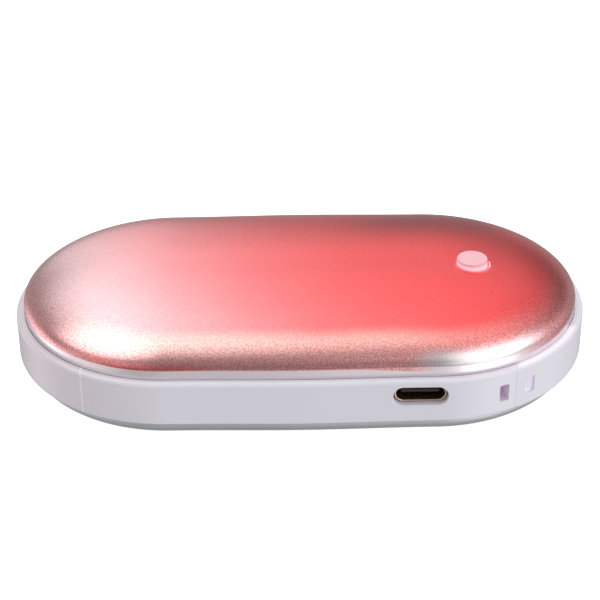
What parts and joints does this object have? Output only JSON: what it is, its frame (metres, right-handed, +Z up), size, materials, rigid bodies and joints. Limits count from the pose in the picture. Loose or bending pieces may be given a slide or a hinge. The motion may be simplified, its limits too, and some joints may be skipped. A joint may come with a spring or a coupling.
{
  "type": "rechargeable hand warmer",
  "caption": "Pocket hand warmer with two domed metal shells on a plastic band, a push button on top, a charging socket and a lanyard eyelet at the front.",
  "frame": {"origin": "on the ground under the centre of the body, at the bottom of the lower shell", "axes": "+X along the body's length towards the end with the button, +Y away from the side with the charging socket, +Z up out of the shell with the button"},
  "size_m": [0.103, 0.0574, 0.0248],
  "materials": {
    "anodised_pink": "fine bead-blasted, pink anodised",
    "white_plastic": "glossy white",
    "clear_pink": "translucent pale pink",
    "cream_plastic": "as moulded",
    "black_plastic": "as moulded",
    "steel": "bright",
    "nickel": "plain nickel strip",
    "contact_gold": "gold plated",
    "cell_wrap": "steel can in a blue shrink wrap",
    "board_green": "green solder mask",
    "ferrite": "dull ferrite",
    "ceramic": "ceramic with tinned ends",
    "led_white": "clear lens",
    "heater_film": "amber polyimide film with etched foil",
    "insulating_foam": "thin felt sheet",
    "red_lead": "silicone insulation",
    "black_lead": "silicone insulation"
  },
  "bodies": {
    "warmer": {"top_shell": "anodised_pink", "bottom_shell": "anodised_pink", "mid_band": "white_plastic", "button_guide": "cream_plastic", "switch_body": "black_plastic", "usb_c_shell": "steel", "usb_c_tongue": "black_plastic", "usb_c_contacts_upper": "contact_gold", "usb_c_contacts_lower": "contact_gold", "cell_front": "cell_wrap", "cell_back": "cell_wrap", "strip_negative": "nickel", "strip_positive": "nickel", "cradle_upper": "cream_plastic", "cradle_lower": "cream_plastic", "cradle_screw_1": "steel", "cradle_screw_2": "steel", "cradle_screw_3": "steel", "cradle_screw_4": "steel", "main_board": "board_green", "charge_chip": "black_plastic", "boost_chip": "black_plastic", "inductor": "ferrite", "lead_socket": "cream_plastic", "capacitor_front": "ceramic", "capacitor_back": "ceramic", "led_front": "led_white", "led_back": "led_white", "board_screw_1": "steel", "board_screw_2": "steel", "heater_top": "heater_film", "heater_bottom": "heater_film", "insulator_top": "insulating_foam", "insulator_bottom": "insulating_foam", "thermistor_top": "black_plastic", "thermistor_bottom": "black_plastic", "heater_lead_top_1": "red_lead", "heater_lead_top_2": "black_lead", "heater_lead_bottom_1": "red_lead", "heater_lead_bottom_2": "black_lead", "battery_lead_negative": "black_lead", "battery_lead_positive": "red_lead"},
    "button": {"button_cap": "clear_pink"},
    "plunger": {"switch_plunger": "cream_plastic"}
  },
  "joints": [
    {"name": "button_press", "type": "slide", "parent": "warmer", "child": "button", "axis": [0, 0, -1], "range_m": [0, 0.0005], "stiffness_N_per_m": 1000, "springref_m": -0.0006},
    {"name": "switch_press", "type": "slide", "parent": "warmer", "child": "plunger", "axis": [0, 0, -1], "range_m": [0, 0.0005]}
  ],
  "couplings": [
    {"joint": "switch_press", "follows": "button_press", "ratio": 1}
  ]
}
